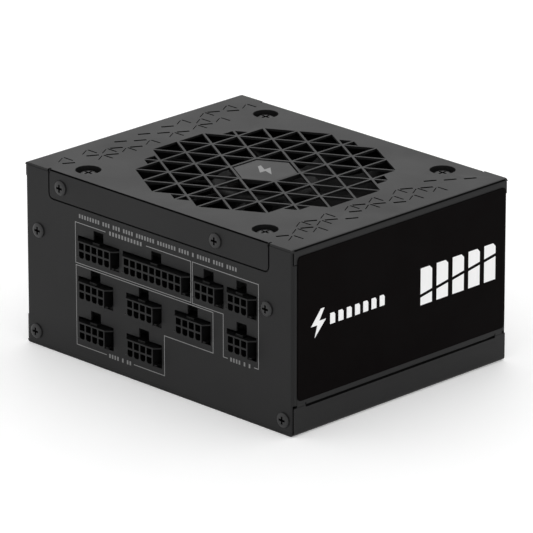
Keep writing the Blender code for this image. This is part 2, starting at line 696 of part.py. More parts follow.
def make_fan_rotor():
    middle = FAN_LOW + 7.8
    axis = hub("fan_axis", (0, 0, middle))
    top, skirt = HUB_TOP - middle, FAN_LOW + 2.9 - middle
    inner = HUB_RADIUS - 1.4
    rotor = turned("fan_rotor", [(0, top), (HUB_RADIUS - 1.2, top), (HUB_RADIUS, top - 1.2),
                                 (HUB_RADIUS, skirt), (inner, skirt), (inner, top - 1.6),
                                 (0, top - 1.6)], 28)
    join(rotor, *[fan_blade(2 * math.pi * k / BLADES) for k in range(BLADES)])
    keep(rotor, "fan_rotor", FAN_PLASTIC, parent=axis)
    tail = FAN_LOW + 2.2 - middle
    shaft = rod("fan_shaft", SHAFT_RADIUS, tail, top - 1.6 - SEAT, sides=16)
    keep(shaft, "fan_shaft", BRIGHT, parent=axis)
    low = FAN_LOW + 2.0 + SEAT
    bearing = turned("fan_bearing", [(3.9, 9.0), (3.9, 0.0), (SHAFT_RADIUS + 0.08, 0.0),
                                     (SHAFT_RADIUS + 0.08, 9.0)], 16)
    keep(bearing, "fan_bearing", BRIGHT, (0, 0, low))
    teeth = []
    for pole in range(4):
        start = pole * 90
        teeth += arc(0, 0, 14.0, start + 6, start + 84, 5)
        teeth += arc(0, 0, 8.0, start + 84, start + 96, 1)
    stator = outline("fan_stator", [teeth, regular(20, 5.3)], 0.0, 6.0)
    keep(stator, "fan_stator", COPPER, (0, 0, FAN_LOW + 3.9))


def make_fan_lead():
    keep(box("fan_header", (-4.0, -3.0, 0.0), (4.0, 3.0, 3.2)), "fan_header", NYLON,
         (52.0, -14.0, STAND))
    plug_low = STAND + 3.2 + SEAT
    keep(box("fan_plug", (-3.2, -2.3, 0.0), (3.2, 2.3, 8.5)), "fan_plug", NYLON,
         (52.0, -14.0, plug_low))
    route = [(52.0, -14.0, plug_low + 8.8), (52.0, -14.0, 23.0), (52.2, -13.4, 27.0),
             (52.6, -12.4, 31.5), (52.8, -11.2, 36.0), (52.0, -10.0, 40.0), (49.6, -9.0, 42.8),
             (46.8, -8.4, 43.8), (44.9, -8.0, 44.2)]
    curve = bpy.data.curves.new("fan_lead", "CURVE")
    curve.dimensions = "3D"
    curve.bevel_depth = 0.9 * MM
    curve.bevel_resolution = 2
    curve.use_fill_caps = True
    points = smooth_route([Vector(p) for p in route], 2)
    spline = curve.splines.new("POLY")
    spline.points.add(len(points) - 1)
    for point, place in zip(spline.points, points):
        point.co = (*(place * MM), 1.0)
    lead = add("fan_lead", curve)
    TOOLS.objects.unlink(lead)
    PARTS.objects.link(lead)
    curve.materials.append(NYLON)


def smooth_route(route, steps):
    """Points on a Catmull-Rom curve through the route."""
    ends = [2 * route[0] - route[1]] + route + [2 * route[-1] - route[-2]]
    found = []
    for a, b, c, d in zip(ends, ends[1:], ends[2:], ends[3:]):
        for k in range(steps):
            t = k / steps
            found.append(0.5 * (2 * b + (c - a) * t + (2 * a - 5 * b + 4 * c - d) * t ** 2
                                + (3 * b - a - 3 * c + d) * t ** 3))
    return found + [route[-1]]


# ---------------------------------------------------------------- the mains side

def inlet_outline(half_width, half_height, chamfer=0.0):
    x, z = INLET_X, INLET_Z
    left, right = x - half_width, x + half_width
    low, high = z - half_height, z + half_height
    if not chamfer:
        return rectangle(left, low, right, high, 1.5)
    return [(left, low), (right, low), (right, high - chamfer), (right - chamfer, high),
            (left + chamfer, high), (left, high - chamfer)]


def make_inlet():
    back = REAR_EDGE - SHEET - SEAT
    shell = outline("inlet_shell", [inlet_outline(13.5, 9.6)], 30.5, REAR_EDGE, "XZ")
    join(shell, outline("inlet_flange", [inlet_outline(15.6, 11.6)], back - 2.2, back, "XZ"))
    cut(shell, outline("inlet_cavity", [inlet_outline(12.2, 8.1, 4.6)], 34.0, REAR_EDGE + 1, "XZ"))
    pins = {"inlet_pin_line": (-7.0, -2.0), "inlet_pin_neutral": (7.0, -2.0),
            "inlet_pin_earth": (0.0, 2.0)}
    for name, (x, z) in pins.items():
        place = (INLET_X + x, 0, INLET_Z + z)
        slot = box("slot", (-1.0 - LOOSE, 29, -2.0 - LOOSE), (1.0 + LOOSE, 36, 2.0 + LOOSE))
        slot.location = Vector(place) * MM
        cut(shell, slot)
        pin = box(name, (-1.0, 25.5, -2.0), (1.0, 47.0 if x == 0 else 45.5, 2.0))
        keep(pin, name, BRIGHT, place)
    keep(shell, "inlet_shell", NYLON)


def make_switch():
    floor = REAR_EDGE - SHEET - 0.4 + SEAT
    x, z = SWITCH_X, SWITCH_Z
    frame = outline("switch_frame", [rectangle(x - 7.8, z - 11.2, x + 7.8, z + 11.2, 1.0)],
                    floor, REAR_EDGE + 0.6, "XZ")
    join(frame, box("switch_body", (x - 6.3, 34.0, z - 9.5), (x + 6.3, floor + 0.5, z + 9.5)))
    cut(frame, box("switch_well", (x - 5.2, 40.5, z - 8.3), (x + 5.2, REAR_EDGE + 2, z + 8.3)))
    cut(frame, rod("pivot_hole", 1.5, x - 9.0, x + 9.0, (ROCKER_PIVOT, z), "X", 16))
    keep(frame, "switch_frame", NYLON)
    rise = ROCKER_HALF * math.tan(math.radians(ROCKER_TILT))
    profile = [(2.2 + rise, -ROCKER_HALF), (-0.8, -ROCKER_HALF + 0.6), (-3.2, -2.4), (-3.2, 2.4),
               (-0.8, ROCKER_HALF - 0.6), (2.2 + rise, ROCKER_HALF), (2.2, 0.0)]
    rocker = outline("switch_rocker", [profile], -4.9, 4.9, "YZ")
    join(rocker, rod("trunnion", 1.2, -6.1, 6.1, (0, 0), "X", 16))
    rocker.data.transform(Matrix.Rotation(math.radians(-ROCKER_TILT), 4, "X"))
    keep(rocker, "switch_rocker", NYLON, (x, ROCKER_PIVOT, z))


# ---------------------------------------------------------------- the main board and its parts

def make_boards():
    holes = [regular(10, SCREW_HOLE, x, y) for x, y in BOARD_SCREWS]
    edge = FRONT_PANEL + SOCKET_BACK + BOARD + 0.5
    board = outline("main_board", [rectangle(-59.5, edge, 59.5, 45.5, 1.5)] + holes,
                    BOARD_LOW, BOARD_TOP)
    keep(board, "main_board", LAMINATE)
    holes = [regular(10, 3.4, x, y) for x, y in BOARD_SCREWS]
    sheet = outline("insulating_sheet", [rectangle(-60.0, -45.0, 60.0, 46.5, 2.0)] + holes,
                    SHEET + SEAT, SHEET + SEAT + 0.4)
    keep(sheet, "insulating_sheet", FILM)


def finned_plate(name, left, right, y, fins, reach):
    """An upright aluminium plate with vertical fins on one side."""
    plate = box(name, (left, y - 1.5, 0.0), (right, y + 1.5, 32.0))
    for k in range(fins):
        x = left + 2.0 + (right - left - 4.0) * k / (fins - 1)
        ends = sorted((y, y + reach))
        join(plate, box("fin", (x - 0.7, ends[0], 3.0), (x + 0.7, ends[1], 31.5)))
    keep(plate, name, BRIGHT, (0, 0, STAND))


def make_board_parts():
    can = turned("bulk_capacitor", [(0, 36.0), (13.5, 36.0), (15.0, 34.8), (15.0, 2.2), (14.5, 1.6),
                                    (15.0, 1.0), (15.0, 0.0), (0, 0.0)], 28)
    keep(can, "bulk_capacitor", SLEEVE, (-40.0, 5.0, STAND), smooth=True)
    core = box("main_transformer", (-15.0, -7.0, 4.0), (15.0, 7.0, 28.0))
    join(core, box("bobbin", (-13.0, -13.5, 0.0), (13.0, 13.5, 5.0)),
         box("winding", (-9.5, -12.0, 4.0), (9.5, 12.0, 24.5)))
    keep(core, "main_transformer", FERRITE, (2.0, -4.0, STAND))
    choke = box("resonant_inductor", (-8.0, -5.0, 0.0), (8.0, 5.0, 18.0))
    join(choke, box("coil", (-5.5, -8.0, 2.5), (5.5, 8.0, 15.5)))
    keep(choke, "resonant_inductor", FERRITE, (29.0, -6.0, STAND))
    for name, ring, tube, place in (("pfc_choke", 9.0, 5.4, (44.0, 18.5)),
                                    ("common_mode_choke", 6.0, 3.6, (16.0, 35.5))):
        bpy.ops.mesh.primitive_torus_add(major_segments=16, minor_segments=6,
                                         major_radius=ring * MM, minor_radius=tube * MM)
        made = bpy.context.active_object
        for group in list(made.users_collection):
            group.objects.unlink(made)
        TOOLS.objects.link(made)
        keep(made, name, COPPER, (*place, STAND + tube), smooth=True)
    keep(box("x_capacitor", (-9.0, -4.5, 0.0), (9.0, 4.5, 15.0)), "x_capacitor", FILM,
         (38.0, 39.8, STAND))
    keep(box("bridge_rectifier", (-11.0, -1.8, 4.0), (11.0, 1.8, 22.0)), "bridge_rectifier", NYLON,
         (-6.0, 18.4, STAND))
    finned_plate("primary_heatsink", -20.0, 24.0, 15.0, 6, -4.0)
    finned_plate("secondary_heatsink", -32.0, 44.0, -26.0, 9, -7.0)


make_tray()
make_connector_panel()
make_cover()
make_side_labels()
make_sockets()
make_modular_board()
make_screws()
make_fan_frame()
make_fan_rotor()
make_fan_lead()
make_inlet()
make_switch()
make_boards()
make_board_parts()
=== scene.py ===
import json
import math

import bpy
from mathutils import Matrix, Quaternion, Vector


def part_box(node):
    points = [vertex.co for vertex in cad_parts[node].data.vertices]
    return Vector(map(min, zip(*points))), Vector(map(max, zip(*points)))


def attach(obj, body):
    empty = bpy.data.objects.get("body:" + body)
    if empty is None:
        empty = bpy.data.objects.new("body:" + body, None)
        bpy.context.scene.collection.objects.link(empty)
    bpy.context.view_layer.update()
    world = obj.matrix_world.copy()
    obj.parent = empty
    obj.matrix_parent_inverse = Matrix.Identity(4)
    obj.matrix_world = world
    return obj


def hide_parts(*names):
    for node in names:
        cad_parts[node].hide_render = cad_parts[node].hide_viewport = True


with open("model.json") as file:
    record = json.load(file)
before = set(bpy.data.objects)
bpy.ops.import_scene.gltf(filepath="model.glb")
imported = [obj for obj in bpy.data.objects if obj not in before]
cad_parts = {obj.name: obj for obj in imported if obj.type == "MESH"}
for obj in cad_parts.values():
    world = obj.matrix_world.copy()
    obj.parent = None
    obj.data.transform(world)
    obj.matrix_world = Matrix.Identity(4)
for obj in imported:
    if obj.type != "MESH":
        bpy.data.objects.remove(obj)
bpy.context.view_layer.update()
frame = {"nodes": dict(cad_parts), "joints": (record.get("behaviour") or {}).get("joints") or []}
nodes = frame["nodes"]

# ------------------------------------------------------------------ the studio
# A seamless pale floor under an evenly lit tent, with a wide softbox behind the left corner and
# a weaker one in front of it. Lengths are in millimetres, turned to metres by MM.
MM = 0.001
AIM = Vector((0.568, -0.08, 29.74)) * MM
AZIMUTH, ELEVATION, ROLL = (math.radians(a) for a in (45.085, 19.897, -0.031))
DISTANCE = 1.9277
away = Vector((math.sin(AZIMUTH) * math.cos(ELEVATION),
               -math.cos(AZIMUTH) * math.cos(ELEVATION), math.sin(ELEVATION)))
camera = bpy.data.objects.new("studio_camera", bpy.data.cameras.new("studio_camera"))
camera.data.lens = 393.1
camera.data.sensor_width = 36.0
camera.data.clip_start, camera.data.clip_end = 0.05, 30.0
camera.location = AIM + away * DISTANCE
camera.rotation_mode = "QUATERNION"
camera.rotation_quaternion = (-away).to_track_quat("-Z", "Y") @ Quaternion((0, 0, 1), ROLL)
bpy.context.scene.collection.objects.link(camera)
bpy.context.scene.camera = camera
bpy.context.scene.view_settings.view_transform = "Standard"


def softbox(name, place, width, height, power):
    """A rectangular soft light aimed at the object."""
    lamp = bpy.data.lights.new(name, "AREA")
    lamp.shape = "RECTANGLE"
    lamp.size, lamp.size_y = width, height
    lamp.energy = power
    stand = bpy.data.objects.new(name, lamp)
    stand.location = place
    stand.rotation_euler = (AIM - Vector(place)).to_track_quat("-Z", "Y").to_euler()
    bpy.context.scene.collection.objects.link(stand)
    return stand


softbox("softbox_left", (-1.4, -1.0, 0.9), 0.9, 0.9, 0.45)
softbox("softbox_rear", (-1.5, 1.6, 1.1), 1.6, 0.9, 2.9)
tent = bpy.data.worlds.new("light_tent")
tent.use_nodes = True
tent.node_tree.nodes["Background"].inputs["Color"].default_value = (1.0, 1.0, 1.0, 1.0)
tent.node_tree.nodes["Background"].inputs["Strength"].default_value = 0.95
bpy.context.scene.world = tent


def only(piece):
    """Leaves one piece selected and active."""
    for item in bpy.context.selected_objects:
        item.select_set(False)
    piece.select_set(True)
    bpy.context.view_layer.objects.active = piece


def settled(piece):
    """Puts a piece's place, turn and size into its mesh."""
    only(piece)
    bpy.ops.object.transform_apply(location=True, rotation=True, scale=True)
    return piece


def new_group(name, inputs, outputs):
    """An empty shader group with its sockets, and its two end nodes."""
    group = bpy.data.node_groups.new(name, "ShaderNodeTree")
    for label, value in inputs.items():
        kind = "NodeSocketVector" if value is None else "NodeSocketFloat"
        socket = group.interface.new_socket(label, in_out="INPUT", socket_type=kind)
        if value is not None:
            socket.default_value = value
    for label in outputs:
        group.interface.new_socket(label, in_out="OUTPUT", socket_type="NodeSocketFloat")
    return group, group.nodes.new("NodeGroupInput"), group.nodes.new("NodeGroupOutput")


# Fine grain, as in powder coat and spark-eroded plastic: Height for a bump, Mottle for colour
coat_grain, start, end = new_group("coat_grain", {"Place": None, "Scale": 3000.0},
                                   ("Height", "Mottle"))
fine = coat_grain.nodes.new("ShaderNodeTexNoise")
fine.inputs["Detail"].default_value = 3.0
fine.inputs["Roughness"].default_value = 0.62
cells = coat_grain.nodes.new("ShaderNodeTexVoronoi")
cells.feature = "SMOOTH_F1"
blend = coat_grain.nodes.new("ShaderNodeMath")
blend.operation = "MULTIPLY_ADD"
blend.inputs[1].default_value = 0.45
for texture in (fine, cells):
    coat_grain.links.new(start.outputs["Place"], texture.inputs["Vector"])
    coat_grain.links.new(start.outputs["Scale"], texture.inputs["Scale"])
coat_grain.links.new(cells.outputs["Distance"], blend.inputs[0])
coat_grain.links.new(fine.outputs["Fac"], blend.inputs[2])
coat_grain.links.new(blend.outputs[0], end.inputs["Height"])
coat_grain.links.new(fine.outputs["Fac"], end.inputs["Mottle"])

# Handling marks: broad, soft patches where a surface has been wiped or touched
handling, start, end = new_group("handling", {"Place": None, "Scale": 45.0}, ("Mask",))
broad = handling.nodes.new("ShaderNodeTexNoise")
broad.inputs["Detail"].default_value = 4.0
broad.inputs["Distortion"].default_value = 0.6
patch = handling.nodes.new("ShaderNodeMapRange")
patch.inputs["From Min"].default_value = 0.35
patch.inputs["From Max"].default_value = 0.68
handling.links.new(start.outputs["Place"], broad.inputs["Vector"])
handling.links.new(start.outputs["Scale"], broad.inputs["Scale"])
handling.links.new(broad.outputs["Fac"], patch.inputs["Value"])
handling.links.new(patch.outputs["Result"], end.inputs["Mask"])


def finish(name, colour, second, rough, scale=3000.0, depth=0.01, metallic=0.0, specular=0.5,
           coat=0.0, smudge=45.0):
    """A finish with grain, mottled colour and handled patches; rough is its range of roughness."""
    made = bpy.data.materials.new(name)
    made.use_nodes = True
    tree = made.node_tree
    shader = tree.nodes["Principled BSDF"]
    shader.inputs["Metallic"].default_value = metallic
    shader.inputs["Specular IOR Level"].default_value = specular
    shader.inputs["Coat Weight"].default_value = coat
    place = tree.nodes.new("ShaderNodeTexCoord")
    grain = tree.nodes.new("ShaderNodeGroup")
    grain.node_tree = coat_grain
    grain.name = "grain"
    grain.inputs["Scale"].default_value = scale
    worn = tree.nodes.new("ShaderNodeGroup")
    worn.node_tree = handling
    worn.name = "worn"
    worn.inputs["Scale"].default_value = smudge
    tint = tree.nodes.new("ShaderNodeMix")
    tint.data_type = "RGBA"
    tint.name = "tint"
    tint.inputs["A"].default_value = (*colour, 1.0)
    tint.inputs["B"].default_value = (*second, 1.0)
    gloss = tree.nodes.new("ShaderNodeMapRange")
    gloss.inputs["To Min"].default_value = rough[0]
    gloss.inputs["To Max"].default_value = rough[1]
    relief = tree.nodes.new("ShaderNodeBump")
    relief.name = "relief"
    relief.inputs["Strength"].default_value = 1.0
    relief.inputs["Distance"].default_value = depth * MM
    link = tree.links.new
    link(place.outputs["Object"], grain.inputs["Place"])
    link(place.outputs["Object"], worn.inputs["Place"])
    link(grain.outputs["Mottle"], tint.inputs["Factor"])
    link(worn.outputs["Mask"], gloss.inputs["Value"])
    link(gloss.outputs["Result"], shader.inputs["Roughness"])
    link(tint.outputs["Result"], shader.inputs["Base Color"])
    link(grain.outputs["Height"], relief.inputs["Height"])
    link(relief.outputs["Normal"], shader.inputs["Normal"])
    return made


def painted(piece, material):
    piece.data.materials.clear()
    piece.data.materials.append(material)
    return piece


FLOOR_HALF = 6000.0
bpy.ops.mesh.primitive_plane_add(size=2 * FLOOR_HALF * MM, location=(0, 0, -0.15 * MM))
floor = settled(bpy.context.object)
floor.name = "studio_floor"
painted(floor, finish("pale_floor", (0.93, 0.93, 0.93), (0.95, 0.95, 0.95), (0.6, 0.7), 400.0,
                      0.02, specular=0.2))
floor_glow = floor.data.materials[0].node_tree.nodes["Principled BSDF"]
floor_glow.inputs["Emission Color"].default_value = (1.0, 1.0, 1.0, 1.0)
floor_glow.inputs["Emission Strength"].default_value = 0.2

# ------------------------------------------------------------------ the chassis tray
# The lower half of the case: 0.8 mm steel folded up into two low side flanges and the mains
# wall, powder coated black. Copies of the folded parts get dressed edges and round bends.
EDGE = 0.11  # how far a punched edge is rounded by deburring and the coat


def dressed(piece, width=EDGE, segments=2, angle=38.0, soft=32.0):
    """Rounds a piece's sharp edges by width, and shades it smooth except across real corners."""
    only(piece)
    if width:
        bevel = piece.modifiers.new("dressed_edge", "BEVEL")
        bevel.width = width * MM
        bevel.segments = segments
        bevel.limit_method = "ANGLE"
        bevel.angle_limit = math.radians(angle)
        bpy.ops.object.modifier_apply(modifier=bevel.name)
    bpy.ops.object.shade_smooth_by_angle(angle=math.radians(soft))
    flat = piece.modifiers.new("flat_faces", "WEIGHTED_NORMAL")
    flat.keep_sharp = True
    bpy.ops.object.modifier_apply(modifier=flat.name)
    return piece


def folded_copy(node):
    """A copy of a part's solid with its points merged and its flat faces made whole."""
    piece = bpy.data.objects.new(node, nodes[node].data.copy())
    bpy.context.scene.collection.objects.link(piece)
    only(piece)
    bpy.ops.mesh.customdata_custom_splitnormals_clear()
    bpy.ops.object.mode_set(mode="EDIT")
    bpy.ops.mesh.select_all(action="SELECT")
    bpy.ops.mesh.remove_doubles(threshold=0.002 * MM)
    bpy.ops.mesh.dissolve_limited(angle_limit=math.radians(0.8))
    bpy.ops.object.mode_set(mode="OBJECT")
    return piece


def fitted(piece, name, material, body="case", stands_for=()):
    """Names a finished piece, gives it its finish and body, and hides the parts it stands for."""
    settled(piece)
    piece.name = piece.data.name = name
    if material:
        painted(piece, material)
    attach(piece, body)
    if stands_for:
        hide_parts(*stands_for)
    return piece


coated_steel = finish("coated_steel", (0.006, 0.006, 0.0062), (0.0103, 0.0103, 0.0105),
                      (0.45, 0.5), 2600.0, 0.012, specular=0.2)
tray = dressed(folded_copy("chassis_tray"))
fitted(tray, "tray_sheet", coated_steel, stands_for=["chassis_tray"])

# ------------------------------------------------------------------ the connector panel
# A flat steel panel with bent-back side edges, punched for ten sockets and its screws, and
# coated like the case. Outlines in pale grey ink are screen printed round groups of sockets.
panel = dressed(folded_copy("connector_panel"))
fitted(panel, "panel_sheet", coated_steel, stands_for=["connector_panel"])
PANEL_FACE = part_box("connector_panel")[0].y / MM
INK = 0.03  # thickness of a printed film
LINE = 0.25
DASH_SHARE, DASH_HALF = 0.55, 0.7  # a printed bar's width as a share of its step, and half height


def chosen(piece, kind, test):
    """Opens a piece for editing with only the points or edges or faces picked that pass test."""
    only(piece)
    bpy.ops.object.mode_set(mode="EDIT")
    bpy.ops.mesh.select_mode(type=kind)
    bpy.ops.mesh.select_all(action="DESELECT")
    bpy.ops.object.mode_set(mode="OBJECT")
    mesh = piece.data
    if kind == "FACE":
        for face in mesh.polygons:
            face.select = test(face.center / MM, face.normal)
    elif kind == "EDGE":
        for edge in mesh.edges:
            edge.select = test(*(mesh.vertices[v].co / MM for v in edge.vertices))
    else:
        for point in mesh.vertices:
            point.select = test(point.co / MM)
    bpy.ops.object.mode_set(mode="EDIT")


def closed():
    bpy.ops.object.mode_set(mode="OBJECT")


def printed_line(route):
    """A ribbon of ink along a route of level and upright runs, grown square by square."""
    x, z = route[0]
    bpy.ops.mesh.primitive_plane_add(size=LINE * MM, location=(x * MM, PANEL_FACE * MM, z * MM),
                                     rotation=(math.pi / 2, 0, 0))
    ribbon = settled(bpy.context.object)
    for (x0, z0), (x1, z1) in zip(route, route[1:]):
        run = Vector((x1 - x0, 0, z1 - z0))
        way = run.normalized()
        near = Vector((x0, PANEL_FACE, z0)) + way * (LINE / 2)
        for length in (run.length - LINE, LINE):
            chosen(ribbon, "EDGE", lambda a, b: max(abs((p - near).dot(way)) for p in (a, b)) < 0.01
                   and ((a + b) / 2 - near).length < LINE * 0.4)
            bpy.ops.mesh.extrude_region_move(
                TRANSFORM_OT_translate={"value": way * length * MM})
            closed()
            near = near + way * length
    return ribbon


def joined(pieces):
    only(pieces[0])
    for item in pieces[1:]:
        item.select_set(True)
    bpy.ops.object.join()
    return bpy.context.object


def thickened(piece, depth, offset=1.0):
    """Turns a flat film into a closed solid, and faces it outwards."""
    only(piece)
    bpy.ops.object.mode_set(mode="EDIT")
    bpy.ops.mesh.select_all(action="SELECT")
    bpy.ops.mesh.remove_doubles(threshold=0.002 * MM)
    bpy.ops.object.mode_set(mode="OBJECT")
    wall = piece.modifiers.new("film", "SOLIDIFY")
    wall.thickness = depth * MM
    wall.offset = offset
    bpy.ops.object.modifier_apply(modifier=wall.name)
    bpy.ops.object.mode_set(mode="EDIT")
    bpy.ops.mesh.select_all(action="SELECT")
    bpy.ops.mesh.normals_make_consistent(inside=False)
    bpy.ops.object.mode_set(mode="OBJECT")
    return piece


def bar(x0, z0, x1, z1):
    """A small printed bar on the panel's face."""
    bpy.ops.mesh.primitive_plane_add(size=MM, rotation=(math.pi / 2, 0, 0), location=(
        (x0 + x1) / 2 * MM, PANEL_FACE * MM, (z0 + z1) / 2 * MM))
    made = bpy.context.object
    made.scale = (x1 - x0, z1 - z0, 1)
    return settled(made)


def dashes(left, right, z, words, step=1.28):
    """A row of short bars in uneven groups, where a line of small print would run."""
    made, x = [], left
    for letters in words:
        for letter in range(letters):
            if x + 0.9 < right:
                made.append(bar(x, z - DASH_HALF, x + step * DASH_SHARE, z + DASH_HALF))
            x += step
        x += step * 0.8
    return made


shift = -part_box("chassis_tray")[1].x / MM
outlines = [
    [(38.4, 48.25), (24.1, 48.25), (24.1, 34.1), (78.5, 34.1), (78.5, 48.25), (57.8, 48.25)],
    [(95.3, 19.3), (93.4, 19.3), (93.4, 34.0), (79.25, 34.0), (79.25, 48.25), (109.5, 48.25),
     (109.5, 19.3), (107.6, 19.3)],
    [(38.4, 5.3), (24.25, 5.3), (24.25, 33.3), (88.7, 33.3), (88.7, 19.3), (66.0, 19.3),
     (66.0, 5.3), (51.6, 5.3)],
]
ribbons = [printed_line([(x + shift, z) for x, z in route]) for route in outlines]
fitted(thickened(joined(ribbons), INK), "panel_print_lines",
       finish("grey_ink", (0.17, 0.17, 0.17), (0.22, 0.22, 0.22), (0.45, 0.6), 4200.0, 0.004))
rows = (dashes(25.9 + shift, 99.9 + shift, 50.7, (8, 3, 3, 4, 7, 7, 4, 1, 5, 4, 4))
        + dashes(40.3 + shift, 57.2 + shift, 48.25, (11,), 1.45)
        + dashes(96.6 + shift, 107.0 + shift, 19.3, (4, 1, 4))
        + dashes(39.7 + shift, 51.0 + shift, 5.3, (4, 1, 3)))
fitted(thickened(joined(rows), INK), "panel_print_dashes",
       finish("dim_ink", (0.13, 0.13, 0.13), (0.18, 0.18, 0.18), (0.45, 0.6), 4200.0, 0.004))

# ------------------------------------------------------------------ the top cover
# The upper half of the case: one sheet folded down both sides, with a screwed flap front and
# rear, a stamped fan grille, four dished screw seats and a pattern of short stamped creases.


def block(low, high):
    bpy.ops.mesh.primitive_cube_add(size=MM, location=[(a + b) / 2 * MM for a, b in zip(low, high)])
    made = bpy.context.object
    made.scale = [b - a for a, b in zip(low, high)]
    return settled(made)


def plate(points, low, high, plane="XY"):
    """A flat plate cut to an outline: a filled ring put in shape, then extruded."""
    bpy.ops.mesh.primitive_circle_add(vertices=len(points), radius=MM, fill_type="NGON")
    made = bpy.context.object
    order = {"XY": (0, 1, 2), "XZ": (0, 2, 1), "YZ": (1, 2, 0)}[plane]
    for corner, (a, b) in zip(made.data.vertices, points):
        place = [0.0, 0.0, 0.0]
        place[order[0]], place[order[1]], place[order[2]] = a, b, low
        corner.co = Vector(place) * MM
    settled(made)
    run = [0.0, 0.0, 0.0]
    run[order[2]] = (high - low) * MM
    bpy.ops.object.mode_set(mode="EDIT")
    bpy.ops.mesh.select_all(action="SELECT")
    bpy.ops.mesh.extrude_region_move(TRANSFORM_OT_translate={"value": run})
    bpy.ops.mesh.select_all(action="SELECT")
    bpy.ops.mesh.normals_make_consistent(inside=False)
    bpy.ops.object.mode_set(mode="OBJECT")
    return made


def combined(piece, tool, operation):
    only(piece)
    step = piece.modifiers.new("combine", "BOOLEAN")
    step.operation = operation
    step.material_mode = "TRANSFER"
    step.object = tool
    step.solver = "EXACT"
    bpy.ops.object.modifier_apply(modifier=step.name)
    bpy.data.objects.remove(tool)
    return piece


def carved(piece, *tools):
    return combined(piece, joined(list(tools)), "DIFFERENCE")


def turned_copy(piece, turn=0.0, place=(0, 0, 0), axis="Z"):
    """Another of the same piece with its own mesh, turned in degrees and moved."""
    other = bpy.data.objects.new(piece.name, piece.data.copy())
    other.data.transform(Matrix.Translation(Vector(place) * MM)
                         @ Matrix.Rotation(math.radians(turn), 4, axis))
    bpy.context.scene.collection.objects.link(other)
    return other


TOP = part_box("top_cover")[1].z / MM
cover = folded_copy("top_cover")
DIMPLES = [Vector((x, y, TOP)) for x in (-41.25, 41.25) for y in (-41.25, 41.25)]


def on_dimple_rim(a, b):
    return any(all(4.0 < (p - d).length < 5.5 and p.z > TOP - 0.01 for p in (a, b))
               for d in DIMPLES)


def on_bend(a, b):
    if min(a.z, b.z) < TOP - 0.01:
        return False
    side = all(abs(abs(p.x) - 62.5) < 0.02 for p in (a, b))
    flap = all(abs(abs(p.y) - 50.0) < 0.02 and -50.8 < p.x < 51.4 for p in (a, b))
    return side or flap


chosen(cover, "EDGE", on_dimple_rim)
bpy.ops.mesh.bevel(offset=0.16 * MM, segments=2, affect="EDGES")
closed()
chosen(cover, "EDGE", on_bend)
bpy.ops.mesh.bevel(offset=0.6 * MM, segments=4, affect="EDGES")
closed()
dressed(cover, 0.1)

# The pressed line along each bend, then the stamped creases either side of the grille; their carved
# faces are painted darker, as painted shade
BEND_WIDTH, BEND_DEEP = 0.6, 0.8


def bend_line(length, place, turn_axis, turn):
    size = (length, BEND_WIDTH) if turn_axis == "X" else (BEND_WIDTH, length)
    low = (-size[0] / 2, -size[1] / 2, -BEND_DEEP / 2)
    made = block(low, [-v for v in low])
    made.data.transform(Matrix.Translation(Vector(place) * MM)
                        @ Matrix.Rotation(math.radians(turn), 4, turn_axis))
    return made


tools = [bend_line(101.6, (0.3, -49.78, TOP - 0.22), "X", 45),
         bend_line(101.6, (0.3, 49.78, TOP - 0.22), "X", -45),
         bend_line(98.0, (62.28, 0, TOP - 0.22), "Y", 45),
         bend_line(98.0, (-62.28, 0, TOP - 0.22), "Y", -45)]
CREASE = 4.55
CREASE_DEPTH = 0.55
CREASE_HALF = {"H": 0.38, "F": 0.2, "R": 0.62}  # half width of each direction of stroke
creases = {}
for letter, half in CREASE_HALF.items():
    crease = plate([(-CREASE / 2, 0), (-CREASE / 2 + 0.2, -half), (CREASE / 2 - 0.2, -half),
                    (CREASE / 2, 0), (CREASE / 2 - 0.2, half), (-CREASE / 2 + 0.2, half)],
                   -CREASE_DEPTH, 0.4)
    chosen(crease, "VERT", lambda p: p.z < 0)
    bpy.ops.transform.resize(value=(0.97, 0.7, 1.0),
                             center_override=(0, 0, -CREASE_DEPTH * MM))
    closed()
    creases[letter] = crease
MARKS = {"H": ((2.6, 0.0), 0), "F": ((1.5, -2.6), -60), "R": ((5.7, -2.8), 60)}
ROW = 5.56
LEFT_DRIFT = 0.055  # the left band leans off the fold by this much a row
LEFT_BAND = ("9.1HF", "5.3HFR", "1.5R", "5.3HF 13HF", "9.1HFR", "5.3HF 13HF", "1.5R 9.1R",
             "5.3R 13HF", "1.5R", "5.3R 13HF", "1.5R 9.1R", "5.3R 13HF", "9.1HFR",
             "5.3HFR 13HF", "", "5.3HFR")
RIGHT_BAND = ("110.5R", "106.7R", "102.9R", "106.7R 114.3HF", "102.9R 110.5HF",
              "106.7HF 114.3HF", "110.5HFR", "106.7HFR", "102.9R 110.5HF", "106.7HFR",
              "110.5R", "106.7HFR", "102.9R 110.5HF", "106.7HFR 114.3HF", "110.5HF",
              "106.7R 114.3HF")
for band, drift in ((LEFT_BAND, LEFT_DRIFT), (RIGHT_BAND, 0.0)):
    for row, marks in enumerate(band):
        slip = drift * row
        for word in marks.split():
            x = float(word.rstrip("HFR"))
            for letter in word.lstrip("0123456789."):
                (across, along), turn = MARKS[letter]
                spot = (x + shift + slip + across, 94.1 - ROW * row - 50 + slip + along, TOP)
                tools.append(turned_copy(creases[letter], turn, spot))
for crease in creases.values():
    bpy.data.objects.remove(crease)
# The carved faces of grooves, seams and cross recesses get this darker, duller coat: painted shade
# in the hollows
groove_painted_shade = finish("groove_painted_shade", (0.0012, 0.0012, 0.0012), (0.002, 0.002, 0.002), (0.7, 0.8),
                     2600.0, 0.006, specular=0.05)
painted(cover, coated_steel)
for tool in tools:
    painted(tool, groove_painted_shade)
carved(cover, *tools)
dressed(cover, 0)
fitted(cover, "cover_sheet", None, stands_for=["top_cover"])
